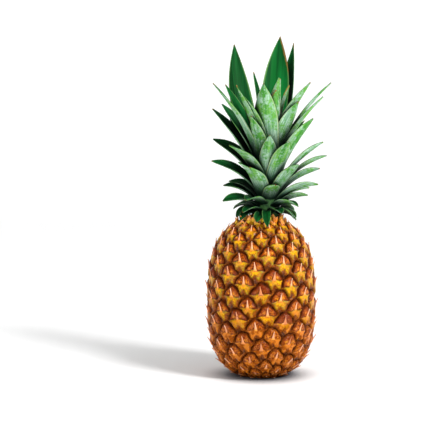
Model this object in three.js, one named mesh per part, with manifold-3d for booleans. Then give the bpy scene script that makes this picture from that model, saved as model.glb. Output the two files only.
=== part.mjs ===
// A whole pineapple standing on its base: the ripe fruit with its eyes and bracts, the leafy
// crown on top and the cut stalk under it. Millimetres, +Z up, seen from the -Y side.
// The origin is the centre of the flat spot that the fruit stands on.
import * as THREE from "three";
import { mergeVertices } from "three/addons/utils/BufferGeometryUtils.js";
import Module from "manifold-3d";

const wasm = await Module();
wasm.setup();

// Driving sizes of the fruit, whose outline is two half superellipses that meet at the waist
const FRUIT_RADIUS = 57.6;
const WAIST_HEIGHT = 80;
const SHOULDER_HEIGHT = 172;
const FOOT_HEIGHT = -3;
const SHOULDER_POWER = 2.8;
const FOOT_POWER = 3;
const ROUNDNESS = 2.3;
const OUTLINE_STEPS = 900;

// The eyes follow one spiral of nearly the golden angle, so that they touch along 8, 13 and 21 rows
const GOLDEN_ANGLE = 137.508;
const EYE_TURN = 137.436;
const EYE_STEP = 1.13;
const EYE_SHRINK = 0.5;
const FIRST_EYE = { height: 133.2, azimuth: 7.3 };
const GROOVE_DEPTH = 2.6;
const EYE_RISE = -0.3;
const EYE_CROWN = 0.35;
const EYE_INSET = 0.66;
const FOOT_LIMIT = 17;
const NECK_LIMIT = 19;

// The dry tip of each bract stands up from the middle of its eye
const BRACT_TIP = { length: 9.5, stand: 2.3, halfWidth: 1.5, head: 1.8, tail: 2.6 };

// The collar: the narrow top of the fruit and the small orange bracts round it
const NECK_HEIGHT = 171;
const NECK_RADIUS = 18;
const NECK_X = 3;
const NECK_DEPTH = 21;
const COLLAR_BRACTS = 15;
const COLLAR_ROOTS = { outer: [29, 155], inner: [17, 157] };
const COLLAR_TIPS = { outer: [27.5, 166.5], inner: [20.5, 170] };

// The cut stalk in its socket
const STALK_RADIUS = 12.5;
const STALK_HEIGHT = 9;
const GAP = 0.35;

// The crown: a short tapered stem with leaves up it, from the lowest and shortest to the heart
const STEM = { x: 6, bottom: NECK_HEIGHT + GAP, height: 62, radius: 13, topRadius: 6 };
const LOWEST_LEAF = -9;
const TOP_LEAF = 57;
const FIRST_LEAF_AZIMUTH = -172.4;
const LEAF_ROOTS = { lowRadius: 9, topRadius: 4, lift: 2.6, topShare: 0.8 };
const LEAF_THICKNESS = 1.9;
const LEAF_EDGE = 0.8;
const LEAF_FOLD = 0.75;
const LEAF_ROLL = 32;
const LEAF_SEED = 20;
const SPINE_HANDLE = 0.38;

// Leaves as they stand round the front and the sides: the turn off the golden angle in degrees, the
// tip's reach from the stem and height above the base, the blade's width, and how far it bows outwards
const SET_LEAVES = {
  "-4": [8, 34, 177, 14, 38],
  "-1": [-10, 36, 178, 13, 38],
  1: [10, 33, 171, 15, 40],
  2: [0, 33, 171, 16, 42],
  3: [-20, 33, 174, 15, 38],
  4: [0, 40, 163.5, 10, 40],
  5: [22, 42, 178, 17, 36],
  6: [0, 44, 195, 16, 24],
  7: [-18, 49, 189, 17, 34],
  8: [-28, 40, 174, 16, 38],
  9: [24, 40, 184, 18, 34],
  10: [0, 49, 204, 18, 34],
  11: [0, 52, 201, 16, 22],
  12: [-18, 35, 191, 20, 34],
  14: [12, 56, 207, 16, 24],
  15: [27, 41, 231, 22, 22],
  17: [6, 27, 207, 19, 18],
  18: [12, 47, 208, 17, 30],
  19: [0, 57, 223, 17, 22],
  20: [13, 34, 226, 23, 10],
  22: [4, 46, 229, 19, 12],
  23: [0, 60, 231, 18, 26],
  24: [-16, 69, 236, 17, 20],
  25: [10, 36, 260, 21, 6],
  27: [-7, 52, 277, 21, 14],
  28: [13, 53, 249, 26, 24],
  30: [8, 47, 253, 22, 10],
  31: [4, 63, 254, 24, 22],
  32: [0, 63, 251, 19, 12],
  33: [0, 33, 280, 23, 8],
  35: [0, 38, 295, 23, 13],
  36: [-18, 60, 287, 21, 12],
  38: [-13, 34, 314, 30, 6],
  40: [8, 60, 300, 17, 16],
  41: [6, 36, 300, 26, 10],
  43: [5, 22, 320, 23, 6],
  44: [4, 50, 292, 21, 12],
  45: [-8, 75, 315, 18, 16],
  46: [0, 18, 290, 16, 4],
  47: [15, 60, 357, 31, -16],
  48: [0, 49, 315, 19, 17],
  49: [4, 62, 314, 21, 12],
  50: [0, 60, 359, 25, -9],
  52: [0, 56, 313, 19, 6],
  54: [-12, 44, 312, 20, 6],
  55: [-20, 56, 366, 33, -6],
  57: [0, 15, 326, 18, 4],
};

const degrees = THREE.MathUtils.degToRad;
const mix = THREE.MathUtils.lerp;

// A repeatable stream of draws between 0 and 1
function drawsFrom(seed) {
  let state = seed;
  return () => {
    state = (state * 16807) % 2147483647;
    return state / 2147483647;
  };
}

// A closed triangle soup as a solid that can be joined and cut
function solidOf(points) {
  const soup = new THREE.BufferGeometry().setAttribute(
    "position",
    new THREE.Float32BufferAttribute(points.flatMap((p) => [p.x, p.y, p.z]), 3),
  );
  return solidFrom(soup);
}

function solidFrom(geometry) {
  geometry.deleteAttribute("normal");
  geometry.deleteAttribute("uv");
  const merged = mergeVertices(geometry, 1e-3);
  return new wasm.Manifold(
    new wasm.Mesh({
      numProp: 3,
      vertProperties: merged.attributes.position.array,
      triVerts: new Uint32Array(merged.index.array),
    }),
  );
}

// Gaps between the blades that are closed in all round are filled
function withoutPockets(solid) {
  const bodies = solid.decompose();
  return wasm.Manifold.union(bodies.filter((body) => body.volume() > 0));
}

function geometryOf(solid) {
  const mesh = solid.getMesh();
  return new THREE.BufferGeometry()
    .setAttribute("position", new THREE.BufferAttribute(mesh.vertProperties, mesh.numProp))
    .setIndex(new THREE.BufferAttribute(mesh.triVerts, 1));
}

// A solid of revolution about the Z axis, from a profile of [radius, height] that runs upwards
function turned(profile, sides) {
  const lathe = new THREE.LatheGeometry(profile.map(([r, z]) => new THREE.Vector2(r, z)), sides);
  return solidFrom(lathe.rotateX(Math.PI / 2));
}

// The fruit's outline from its foot to its shoulder: arc length counted in eyes, and the normal
function fruitMeridian() {
  const line = [];
  for (let k = 0; k <= OUTLINE_STEPS; k++) {
    const u = -Math.cos((Math.PI * k) / OUTLINE_STEPS);
    const power = u < 0 ? FOOT_POWER : SHOULDER_POWER;
    const half = u < 0 ? WAIST_HEIGHT - FOOT_HEIGHT : SHOULDER_HEIGHT - WAIST_HEIGHT;
    const radius = FRUIT_RADIUS * Math.max(0, 1 - Math.abs(u) ** power) ** (1 / ROUNDNESS);
    line.push({ radius, height: WAIST_HEIGHT + u * half, count: 0, eye: EYE_STEP });
  }
  line.forEach((p, k) => {
    const before = line[Math.max(0, k - 1)];
    const after = line[Math.min(OUTLINE_STEPS, k + 1)];
    const run = new THREE.Vector2(after.radius - before.radius, after.height - before.height);
    run.normalize();
    p.normal = [run.y, -run.x];
    p.eye = EYE_STEP * Math.max(0.15, p.radius / FRUIT_RADIUS) ** EYE_SHRINK;
    const reach = Math.hypot(p.radius - before.radius, p.height - before.height);
    p.count = before.count + reach / p.eye;
  });
  return line;
}

const meridian = fruitMeridian();
const eyesInAll = meridian.at(-1).count;

// The outline's point at a count of eyes from the foot
function meridianAt(count) {
  const wanted = THREE.MathUtils.clamp(count, 0, eyesInAll);
  let low = 0;
  let high = meridian.length - 1;
  while (high - low > 1) {
    const middle = (low + high) >> 1;
    if (meridian[middle].count > wanted) high = middle;
    else low = middle;
  }
  const a = meridian[low];
  const b = meridian[high];
  const share = (wanted - a.count) / (b.count - a.count);
  return {
    radius: mix(a.radius, b.radius, share),
    height: mix(a.height, b.height, share),
    eye: mix(a.eye, b.eye, share),
    normal: [mix(a.normal[0], b.normal[0], share), mix(a.normal[1], b.normal[1], share)],
  };
}

// A point of the rind, lifted off the outline by a height along the normal
function rindPoint(count, azimuth, lift) {
  const { radius, height, normal } = meridianAt(count);
  const r = radius + normal[0] * lift;
  const z = height + normal[1] * lift;
  const angle = degrees(azimuth);
  return new THREE.Vector3(r * Math.sin(angle), -r * Math.cos(angle), z);
}

const firstCount = meridian.find((p) => p.height >= FIRST_EYE.height).count;
const eyeCount = (i) => firstCount + i;
const eyeAzimuth = (i) => FIRST_EYE.azimuth - EYE_TURN * i;

// Turns between an eye and the eyes 8, 13 and 21 further up its spiral, less their whole circles
const TURN_8 = 3 * 360 - 8 * EYE_TURN;
const TURN_13 = 5 * 360 - 13 * EYE_TURN;
const TURN_21 = 8 * 360 - 21 * EYE_TURN;

// The two groove corners that each eye owns, where it meets its neighbours up the 8 and 13 rows
function cornerLeft(i) {
  return { count: eyeCount(i + 29 / 3), azimuth: eyeAzimuth(i) + (TURN_8 + TURN_21) / 3 };
}

function cornerRight(i) {
  return { count: eyeCount(i + 34 / 3), azimuth: eyeAzimuth(i) + (TURN_13 + TURN_21) / 3 };
}

// Whole circles taken off, so that a corner lies beside the eye that it is seen from
function besides(corner, azimuth) {
  const turns = Math.round((corner.azimuth - azimuth) / 360);
  return { count: corner.count, azimuth: corner.azimuth - 360 * turns };
}

// One eye: a groove hexagon, a raised rim inside it, and the bract's dry tip on a small diamond
function eyeTriangles(i, lowest, highest, poles) {
  const middle = { count: eyeCount(i), azimuth: eyeAzimuth(i) };
  const at = meridianAt(middle.count);
  const outline = [cornerLeft(i - 8), cornerRight(i), cornerLeft(i)];
  outline.push(cornerRight(i - 13), cornerLeft(i - 21), cornerRight(i - 21));
  const groove = outline.map((c) => rindPoint(c.count, c.azimuth, -GROOVE_DEPTH));
  const rim = outline
    .map((c) => besides(c, middle.azimuth))
    .map((c) =>
      rindPoint(
        mix(middle.count, c.count, EYE_INSET),
        mix(middle.azimuth, c.azimuth, EYE_INSET),
        EYE_RISE,
      ),
    );
  const size = Math.min(1, at.radius / FRUIT_RADIUS + 0.15);
  const local = (x, y, lift) => {
    const turn = THREE.MathUtils.radToDeg((x * size) / Math.max(at.radius, 4));
    return rindPoint(middle.count + (y * size) / at.eye, middle.azimuth + turn, lift);
  };
  const tip = local(0, BRACT_TIP.length, BRACT_TIP.stand);
  const foot = [
    local(BRACT_TIP.halfWidth, 0, EYE_CROWN),
    local(0, BRACT_TIP.head, EYE_CROWN),
    local(-BRACT_TIP.halfWidth, 0, EYE_CROWN),
    local(0, -BRACT_TIP.tail, EYE_CROWN),
  ];
  const out = [];
  const neighbours = [13, 21, 8, -13, -21, -8];
  for (let k = 0; k < 6; k++) {
    const next = (k + 1) % 6;
    out.push(groove[k], groove[next], rim[next], groove[k], rim[next], rim[k]);
    const across = i + neighbours[k];
    if (across > highest) out.push(groove[next], groove[k], poles.top);
    if (across < lowest) out.push(groove[next], groove[k], poles.bottom);
  }
  const band = [
    [rim[0], rim[1], foot[1]],
    [rim[0], foot[1], foot[0]],
    [rim[1], rim[2], foot[1]],
    [rim[2], rim[3], foot[2]],
    [rim[2], foot[2], foot[1]],
    [rim[3], rim[4], foot[3]],
    [rim[3], foot[3], foot[2]],
    [rim[4], rim[5], foot[3]],
    [rim[5], rim[0], foot[0]],
    [rim[5], foot[0], foot[3]],
  ];
  band.forEach((t) => out.push(...t));
  for (let k = 0; k < 4; k++) out.push(foot[k], foot[(k + 1) % 4], tip);
  return out;
}

// The whole rind, closed at both poles
function rindSolid() {
  const widest = (limit) => meridian.filter((p) => p.radius >= limit);
  const lowest = Math.ceil(widest(FOOT_LIMIT)[0].count - firstCount);
  const highest = Math.floor(widest(NECK_LIMIT).at(-1).count - firstCount);
  const poles = {
    bottom: new THREE.Vector3(0, 0, FOOT_HEIGHT),
    top: new THREE.Vector3(0, 0, SHOULDER_HEIGHT - GROOVE_DEPTH),
  };
  const points = [];
  for (let i = lowest; i <= highest; i++) points.push(...eyeTriangles(i, lowest, highest, poles));
  return solidOf(points);
}

// A blade along a spine that starts in the stem and bows outwards: {radius, height} at its root
// and tip, the azimuth, the widest width, the bow, the sway to one side and the roll at the tip
function bladeSolid(blade) {
  const { root, tip, azimuth, width, bow, sway, roll, stations, thickness } = blade;
  const chord = Math.hypot(tip.radius - root.radius, tip.height - root.height);
  const slope = Math.atan2(tip.height - root.height, tip.radius - root.radius);
  const handle = chord * SPINE_HANDLE;
  const start = slope + degrees(bow);
  const end = slope - degrees(bow);
  const spine = new THREE.CubicBezierCurve(
    new THREE.Vector2(root.radius, root.height),
    new THREE.Vector2(root.radius + handle * Math.cos(start), root.height + handle * Math.sin(start)),
    new THREE.Vector2(tip.radius - handle * Math.cos(end), tip.height - handle * Math.sin(end)),
    new THREE.Vector2(tip.radius, tip.height),
  );
  const angle = degrees(azimuth);
  const outwards = new THREE.Vector3(Math.sin(angle), -Math.cos(angle), 0);
  const sideways = new THREE.Vector3(Math.cos(angle), Math.sin(angle), 0);
  const up = new THREE.Vector3(0, 0, 1);
  const bluntness = THREE.MathUtils.clamp((width / chord - 0.1) / 0.12, 0, 1);
  const rings = [];
  for (let k = 0; k <= stations; k++) {
    const t = k / stations;
    const at = spine.getPoint(t);
    const run = spine.getTangent(t);
    const along = outwards.clone().multiplyScalar(run.x).addScaledVector(up, run.y);
    const turn = -degrees(roll * t);
    const under = outwards.clone().multiplyScalar(run.y).addScaledVector(up, -run.x);
    const outside = under.applyAxisAngle(along, turn);
    const aside = sideways.clone().applyAxisAngle(along, turn);
    const middle = outwards.clone().multiplyScalar(at.x).addScaledVector(up, at.y);
    middle.addScaledVector(sideways, sway * t * t);
    const half = Math.max(0.5, (width / 2) * bladeShape(t, bluntness));
    const across = (half * Math.sin(LEAF_FOLD)) / LEAF_FOLD;
    const inwards = (half * (1 - Math.cos(LEAF_FOLD))) / LEAF_FOLD;
    const spineHalf = mix(thickness, LEAF_EDGE, t) / 2;
    const edgeHalf = LEAF_EDGE / 2;
    const place = (side, depth) =>
      middle.clone().addScaledVector(aside, side * across)
        .addScaledVector(outside, depth - Math.abs(side) * inwards);
    rings.push([
      place(-1, edgeHalf),
      place(0, spineHalf),
      place(1, edgeHalf),
      place(1, -edgeHalf),
      place(0, -spineHalf),
      place(-1, -edgeHalf),
    ]);
  }
  return solidOf(skin(rings));
}

// The blade's half width along it, as a share of its widest: a blunt blade stays broad past its
// middle and closes in an arch, a long one tapers almost straight to its point
function bladeShape(t, bluntness) {
  const broad = mix(0.3, 0.56, bluntness);
  if (t < broad) return mix(0.8, 1, Math.sin(((t / broad) * Math.PI) / 2));
  return 1 - ((t - broad) / (1 - broad)) ** mix(1.4, 2.5, bluntness);
}

// Triangles over a row of six-sided rings, split alike on both faces, with a cap at each end
function skin(rings) {
  const out = [];
  const quad = (a, b, c, d) => out.push(a, b, c, a, c, d);
  for (let k = 0; k + 1 < rings.length; k++) {
    const a = rings[k];
    const b = rings[k + 1];
    quad(a[0], a[1], b[1], b[0]);
    quad(a[2], b[2], b[1], a[1]);
    quad(a[2], a[3], b[3], b[2]);
    quad(b[3], a[3], a[4], b[4]);
    quad(b[4], a[4], a[5], b[5]);
    quad(a[5], a[0], b[0], b[5]);
  }
  const low = rings[0];
  const high = rings.at(-1);
  out.push(low[0], low[5], low[4], low[0], low[4], low[1], low[1], low[4], low[3], low[1], low[3], low[2]);
  out.push(high[0], high[4], high[5], high[0], high[1], high[4]);
  out.push(high[1], high[3], high[4], high[1], high[2], high[3]);
  return out;
}

// A place on the way from the outer to the inner of two [radius, height] pairs
function between({ outer, inner }, share) {
  return { radius: mix(outer[0], inner[0], share), height: mix(outer[1], inner[1], share) };
}

// The narrow neck of the fruit with small upright bracts leaning on it
function collarSolids() {
  const neckFoot = NECK_HEIGHT - NECK_DEPTH;
  const neck = turned(
    [
      [0, neckFoot],
      [NECK_RADIUS + 3, neckFoot],
      [NECK_RADIUS + 1.5, NECK_HEIGHT - 5],
      [NECK_RADIUS - 1, NECK_HEIGHT],
      [0, NECK_HEIGHT],
    ],
    18,
  );
  const bracts = [];
  for (let i = 0; i < COLLAR_BRACTS; i++) {
    const share = i / (COLLAR_BRACTS - 1);
    bracts.push(
      bladeSolid({
        root: between(COLLAR_ROOTS, share),
        tip: between(COLLAR_TIPS, share),
        azimuth: GOLDEN_ANGLE * i,
        width: 9,
        bow: 8,
        sway: 0,
        roll: 0,
        stations: 2,
        thickness: 1.4,
      }).translate([NECK_X, 0, 0]),
    );
  }
  return [neck.translate([NECK_X, 0, 0]), ...bracts];
}

function slab(bottom, top) {
  const box = new THREE.BoxGeometry(400, 400, top - bottom);
  return solidFrom(box.translate(0, 0, (bottom + top) / 2));
}

function fruitSolid() {
  const socket = turned(
    [
      [0, -20],
      [STALK_RADIUS + GAP, -20],
      [STALK_RADIUS + GAP, STALK_HEIGHT + GAP],
      [0, STALK_HEIGHT + GAP],
    ],
    20,
  );
  const whole = wasm.Manifold.union([rindSolid(), ...collarSolids()])
    .subtract(slab(-40, 0))
    .subtract(slab(NECK_HEIGHT, NECK_HEIGHT + 40))
    .subtract(socket);
  return withoutPockets(whole);
}

function stalkSolid() {
  return turned(
    [
      [0, 0],
      [STALK_RADIUS - 1, 0],
      [STALK_RADIUS, 1],
      [STALK_RADIUS, STALK_HEIGHT],
      [0, STALK_HEIGHT],
    ],
    20,
  );
}

// Where a leaf stands if it isn't set by hand: low ones are short and spread, high ones tall
function growthRule(i) {
  if (i < 0) return [0, mix(31, 33, -i / 10), mix(171, 167.5, -i / 10), 13, 42];
  const share = i / TOP_LEAF;
  const spread = Math.sin(Math.min(1, share / 0.4) * (Math.PI / 2));
  const reach = share < 0.8 ? 32 + 28 * spread : mix(40, 15, (share - 0.8) / 0.2);
  const height = STEM.bottom + mix(2, 150, share ** 0.9);
  return [0, reach, height, mix(15, 21, Math.min(1, share * 1.6)), mix(36, 6, Math.min(1, share * 1.3))];
}

function leafSolid(i, draw) {
  const share = (i - LOWEST_LEAF) / (TOP_LEAF - LOWEST_LEAF);
  const [turn, reach, height, width, bow] = SET_LEAVES[i] ?? growthRule(i);
  const rootHeight =
    STEM.bottom + mix(LEAF_ROOTS.lift, STEM.height * LEAF_ROOTS.topShare, share ** 1.6);
  const chord = Math.hypot(reach, height - rootHeight);
  const azimuth = FIRST_LEAF_AZIMUTH - GOLDEN_ANGLE * i + turn;
  const rolled = LEAF_ROLL * Math.sin(degrees(azimuth)) ** 2;
  return bladeSolid({
    root: { radius: mix(LEAF_ROOTS.lowRadius, LEAF_ROOTS.topRadius, share), height: rootHeight },
    tip: { radius: reach, height },
    azimuth,
    width,
    bow,
    sway: mix(-3, 3, draw()),
    roll: rolled + mix(-8, 8, draw()),
    stations: chord < 56 ? 3 : 5,
    thickness: LEAF_THICKNESS,
  });
}

function crownSolid() {
  const { bottom, height, radius, topRadius } = STEM;
  const stem = turned(
    [
      [0, bottom],
      [radius, bottom],
      [topRadius, bottom + height],
      [0, bottom + height],
    ],
    18,
  );
  const draw = drawsFrom(LEAF_SEED);
  const leaves = [];
  for (let i = LOWEST_LEAF; i <= TOP_LEAF; i++) leaves.push(leafSolid(i, draw));
  return withoutPockets(wasm.Manifold.union([stem, ...leaves]));
}

function named(name, solid, colour, roughness) {
  const material = new THREE.MeshStandardMaterial({ color: colour, roughness, metalness: 0 });
  const mesh = new THREE.Mesh(geometryOf(solid), material);
  mesh.name = name;
  return mesh;
}

const pineapple = new THREE.Group();
pineapple.name = "pineapple";
const fruit = named("fruit", fruitSolid(), 0xc07a20, 0.55);
const stalk = named("stalk", stalkSolid(), 0xb59a6a, 0.9);
const crown = named("crown", crownSolid(), 0x4f8a55, 0.5);
crown.position.x = STEM.x;
pineapple.add(fruit, stalk, crown);

export default pineapple;
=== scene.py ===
"""A whole pineapple standing on its base. Metres, +Z up, seen from the -Y side.

Lengths are written in millimetres and turned to metres where a mesh is made.
"""

import math

import bpy
import numpy as np
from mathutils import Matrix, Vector


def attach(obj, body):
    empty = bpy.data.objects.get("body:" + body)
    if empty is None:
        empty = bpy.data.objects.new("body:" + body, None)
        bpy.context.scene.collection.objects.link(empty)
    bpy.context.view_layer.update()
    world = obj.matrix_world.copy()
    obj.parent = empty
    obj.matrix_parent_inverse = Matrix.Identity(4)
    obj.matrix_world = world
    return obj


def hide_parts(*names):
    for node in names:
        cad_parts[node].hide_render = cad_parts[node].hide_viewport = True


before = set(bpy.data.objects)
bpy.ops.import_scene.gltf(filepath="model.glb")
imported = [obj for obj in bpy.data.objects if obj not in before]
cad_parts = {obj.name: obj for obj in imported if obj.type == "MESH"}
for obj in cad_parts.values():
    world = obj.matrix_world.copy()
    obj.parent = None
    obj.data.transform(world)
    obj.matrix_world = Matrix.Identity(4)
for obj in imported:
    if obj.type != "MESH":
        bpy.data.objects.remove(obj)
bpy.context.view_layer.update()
MM = 0.001

# The view
# The fruit stands upright a little right of the middle of the picture, seen from just above
# its waist through a long lens, so that its sides stay nearly parallel.
VIEW_DISTANCE = 1600
VIEW_WIDTH = 452.6
VIEW_ELEVATION = 4.5
VIEW_AIM = (-54.8, 0, 177.9)

elevation = math.radians(VIEW_ELEVATION)
camera_data = bpy.data.cameras.new("camera")
camera_data.angle = 2 * math.atan(VIEW_WIDTH / 2 / VIEW_DISTANCE)
camera = bpy.data.objects.new("camera", camera_data)
bpy.context.scene.collection.objects.link(camera)
camera.location = (
    0,
    -VIEW_DISTANCE * MM * math.cos(elevation),
    VIEW_AIM[2] * MM + VIEW_DISTANCE * MM * math.sin(elevation),
)
sight = Vector(VIEW_AIM) * MM - camera.location
camera.rotation_euler = sight.to_track_quat("-Z", "Y").to_euler()
bpy.context.scene.camera = camera
# Colours are shown as they are given, with no film look
bpy.context.scene.view_settings.view_transform = "Standard"

# The rind
# A pineapple is a stack of fruitlets grown into one barrel under a waxy rind. Each shows as an
# eye: the fleshy foot of its bract is a yellow star, and over it a papery brown dome lies under
# a pointed arch, whose dark groove parts it from the stars above.
FRUIT_RADIUS = 57.6
WAIST_HEIGHT = 80
SHOULDER_HEIGHT = 172
FOOT_HEIGHT = -3
SHOULDER_POWER = 2.8
FOOT_POWER = 3
ROUNDNESS = 2.3
OUTLINE_STEPS = 900

# The eyes follow one spiral of nearly the golden angle, so they touch along 8, 13 and 21 rows.
# The spiral climbs by the step for each eye at the waist, and by less where the fruit narrows.
EYE_STEP = 1.13
EYE_SHRINK = 0.5
LEAST_GIRTH = 0.15
EYE_MARGIN = 0.15
EYE_TURN = 137.436
FIRST_EYE_HEIGHT = 133.2
FIRST_EYE_AZIMUTH = 7.3
LOWEST_EYE_RADIUS = 11
HIGHEST_EYE_RADIUS = 19

# The shape of one full-sized eye, and how it stands out from the barrel or sinks into it
EYE_REACH = 17
ARM_REACH = 11.5
LEG_REACH = 10.4
LEG_SIDE = 6.9
FORK_DROP = 4.6
ARCH_HALF_WIDTH = 10.8
ARCH_HEIGHT = 12
ARCH_FULLNESS = (1.7, 1.4)
ARCH_CROWN = 6
EYE_CENTRE_UP = 1.5
DIMPLE_SIDE = 3.8
DIMPLE_UP = 2.7
DIMPLE_WIDTH = 2
DOME_RISE = 1.5
STAR_RISE = 0.9
DIMPLE_DEPTH = 0.5
FLESH_DEPTH = 0.9
GROOVE_DEPTH = 2.3
GROOVE_WIDTH = 1.1
UNEVENNESS = 0.9

# No two eyes are alike: how far each is shifted, in steps and degrees, widened and slanted
STEP_SHIFT = 2.2
AZIMUTH_SHIFT = 3.0
LEAST_WIDTH = 0.94
WIDTH_RANGE = 0.12
SLANT = 0.3
TILT = 0.16
SIDE_WAVER = 0.5
UP_WAVER = 0.4

# The mesh runs from the foot to the neck, fine enough for the grooves
RIND_FOOT_RADIUS = 9.5
RIND_NECK_RADIUS = 17
RIND_SIDES = 408
RIND_STEP = 0.98
RIND_TOP = SHOULDER_HEIGHT - 1.5
FAR_OUTSIDE = 9.0

# The outline from foot to shoulder: radius, height and number of the eye at each point
climb = -np.cos(np.pi * np.arange(OUTLINE_STEPS + 1) / OUTLINE_STEPS)
power = np.where(climb < 0, FOOT_POWER, SHOULDER_POWER)
half = np.where(climb < 0, WAIST_HEIGHT - FOOT_HEIGHT, SHOULDER_HEIGHT - WAIST_HEIGHT)
outline_radius = FRUIT_RADIUS * np.maximum(0, 1 - np.abs(climb) ** power) ** (1 / ROUNDNESS)
outline_height = WAIST_HEIGHT + climb * half
outline_girth = np.maximum(LEAST_GIRTH, outline_radius / FRUIT_RADIUS)
outline_eye = EYE_STEP * outline_girth**EYE_SHRINK
outline_steps = np.hypot(np.diff(outline_radius), np.diff(outline_height))
outline_count = np.concatenate([[0], np.cumsum(outline_steps / outline_eye[1:])])
outline_way = np.stack([np.gradient(outline_radius), np.gradient(outline_height)])
outline_way /= np.linalg.norm(outline_way, axis=0)


def along_outline(count, values):
    """Values of the outline at the given eye numbers."""
    return np.interp(count, outline_count, values)


def rind_points(count, azimuth, lift):
    """Points of the rind in millimetres, lifted off the outline along its normal."""
    radius = along_outline(count, outline_radius) + along_outline(count, outline_way[1]) * lift
    height = along_outline(count, outline_height) - along_outline(count, outline_way[0]) * lift
    angle = np.radians(azimuth)
    return np.stack([radius * np.sin(angle), -radius * np.cos(angle), height], axis=-1)


def eye_scale(count):
    """The size of the eyes at the given numbers: full round the waist, less at both ends."""
    return np.minimum(1, along_outline(count, outline_radius) / FRUIT_RADIUS + EYE_MARGIN)


def smooth(value, low, high):
    """0 below low and 1 above high, with a smooth step between."""
    t = np.clip((value - low) / (high - low), 0, 1)
    return t * t * (3 - 2 * t)


def arm_top(x):
    """The upper edge of the star's arms, which rises to the foot of the bract's tip."""
    return 0.2 + 1.9 * np.exp(-np.abs(x) / 1.5) - 0.1 * np.abs(x)


def star_reach(x, y):
    """How far inside the yellow star a point of the eye is, in millimetres: under the arms' top,
    outside the fork between the legs, and within either the arms or the legs."""
    side = np.abs(x)
    arm = y + 1.0 + 0.46 * (ARM_REACH - side)
    leg = np.minimum(LEG_SIDE + 0.16 * (y + 3) - side, y + LEG_REACH)
    fork = side - 0.72 * np.maximum(0, -FORK_DROP - y) + 3 * np.maximum(0, y + FORK_DROP)
    return np.minimum(np.minimum(arm_top(x) - y, fork), np.maximum(arm, leg))


def arch_reach(x, y):
    """How far under the pointed arch a point of the eye is, in millimetres."""
    across = (np.abs(x) / ARCH_HALF_WIDTH) ** ARCH_FULLNESS[0]
    upwards = (np.maximum(0, y) / ARCH_HEIGHT) ** ARCH_FULLNESS[1]
    return ARCH_CROWN * (1 - across - upwards)


# Eight draws for each eye: how raised, ripe, dark and glowing it is, its shift and its slant
first_count = outline_count[np.argmax(outline_height >= FIRST_EYE_HEIGHT)]
lowest_eye = math.ceil(outline_count[outline_radius >= LOWEST_EYE_RADIUS][0] - first_count)
highest_eye = math.floor(outline_count[outline_radius >= HIGHEST_EYE_RADIUS][-1] - first_count)
eyes = np.arange(lowest_eye, highest_eye + 1)
draw = np.random.default_rng(7)
eye_draws = draw.random((len(eyes), 8))
raised, ripe, dark, glowing, shift_up, shift_round, slant, tilt = eye_draws.T
eye_count = first_count + eyes + STEP_SHIFT * (shift_up - 0.5)
eye_azimuth = FIRST_EYE_AZIMUTH - EYE_TURN * eyes + AZIMUTH_SHIFT * (shift_round - 0.5)
eye_height = along_outline(eye_count, outline_height)

# Each point of the rind's grid takes what the eyes around it say: how deep it lies in a dome or
# a star, and how near it is to an arch, to an eye's middle and to the dimples beside its tip
kept = (outline_radius >= RIND_FOOT_RADIUS) | (outline_height > WAIST_HEIGHT)
kept &= (outline_radius >= RIND_NECK_RADIUS) | (outline_height < WAIST_HEIGHT)
outline_length = np.concatenate([[0], np.cumsum(outline_steps)])
start, end = outline_length[kept][0], outline_length[kept][-1]
rows = np.linspace(start, end, round((end - start) / RIND_STEP) + 1)
row_count = np.interp(rows, outline_length, outline_count)
column_azimuth = np.arange(RIND_SIDES) * 360 / RIND_SIDES
grid = (len(rows), RIND_SIDES)
in_dome = np.full(grid, -FAR_OUTSIDE)
in_star = np.full(grid, -FAR_OUTSIDE)
from_line = np.full(grid, FAR_OUTSIDE)
from_middle = np.full(grid, FAR_OUTSIDE)
from_dimple = np.full(grid, FAR_OUTSIDE)
owner = np.zeros(grid, int)
nearest = np.full(grid, 99.0)
for i in range(len(eyes)):
    y = (row_count - eye_count[i]) * EYE_STEP
    turned = (column_azimuth - eye_azimuth[i] + 180) % 360 - 180
    x = np.radians(turned) * FRUIT_RADIUS / (LEAST_WIDTH + WIDTH_RANGE * dark[i])
    near = np.ix_(np.abs(y) < EYE_REACH, np.abs(x) < EYE_REACH)
    x, y = np.meshgrid(x[np.abs(x) < EYE_REACH], y[np.abs(y) < EYE_REACH])
    x = x + SLANT * (slant[i] - 0.5) * y + SIDE_WAVER * np.sin(0.6 * y + 7 * glowing[i])
    y = y + TILT * (tilt[i] - 0.5) * x + UP_WAVER * np.sin(0.7 * x + 7 * ripe[i])
    arch = arch_reach(x, y)
    dome = np.minimum(arch, 1.5 * (y - arm_top(x)))
    in_dome[near] = np.maximum(in_dome[near], dome)
    in_star[near] = np.maximum(in_star[near], star_reach(x, y))
    line = np.abs(arch) + 4 * np.maximum(0, -0.3 - y)
    from_line[near] = np.minimum(from_line[near], line)
    from_middle[near] = np.minimum(from_middle[near], np.hypot(x, 1.4 * y))
    dimple = np.hypot(np.abs(x) - DIMPLE_SIDE, y - DIMPLE_UP)
    from_dimple[near] = np.minimum(from_dimple[near], dimple)
    apart = np.hypot(x, y - EYE_CENTRE_UP)
    owner[near] = np.where(apart < nearest[near], i, owner[near])
    nearest[near] = np.minimum(nearest[near], apart)

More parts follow.
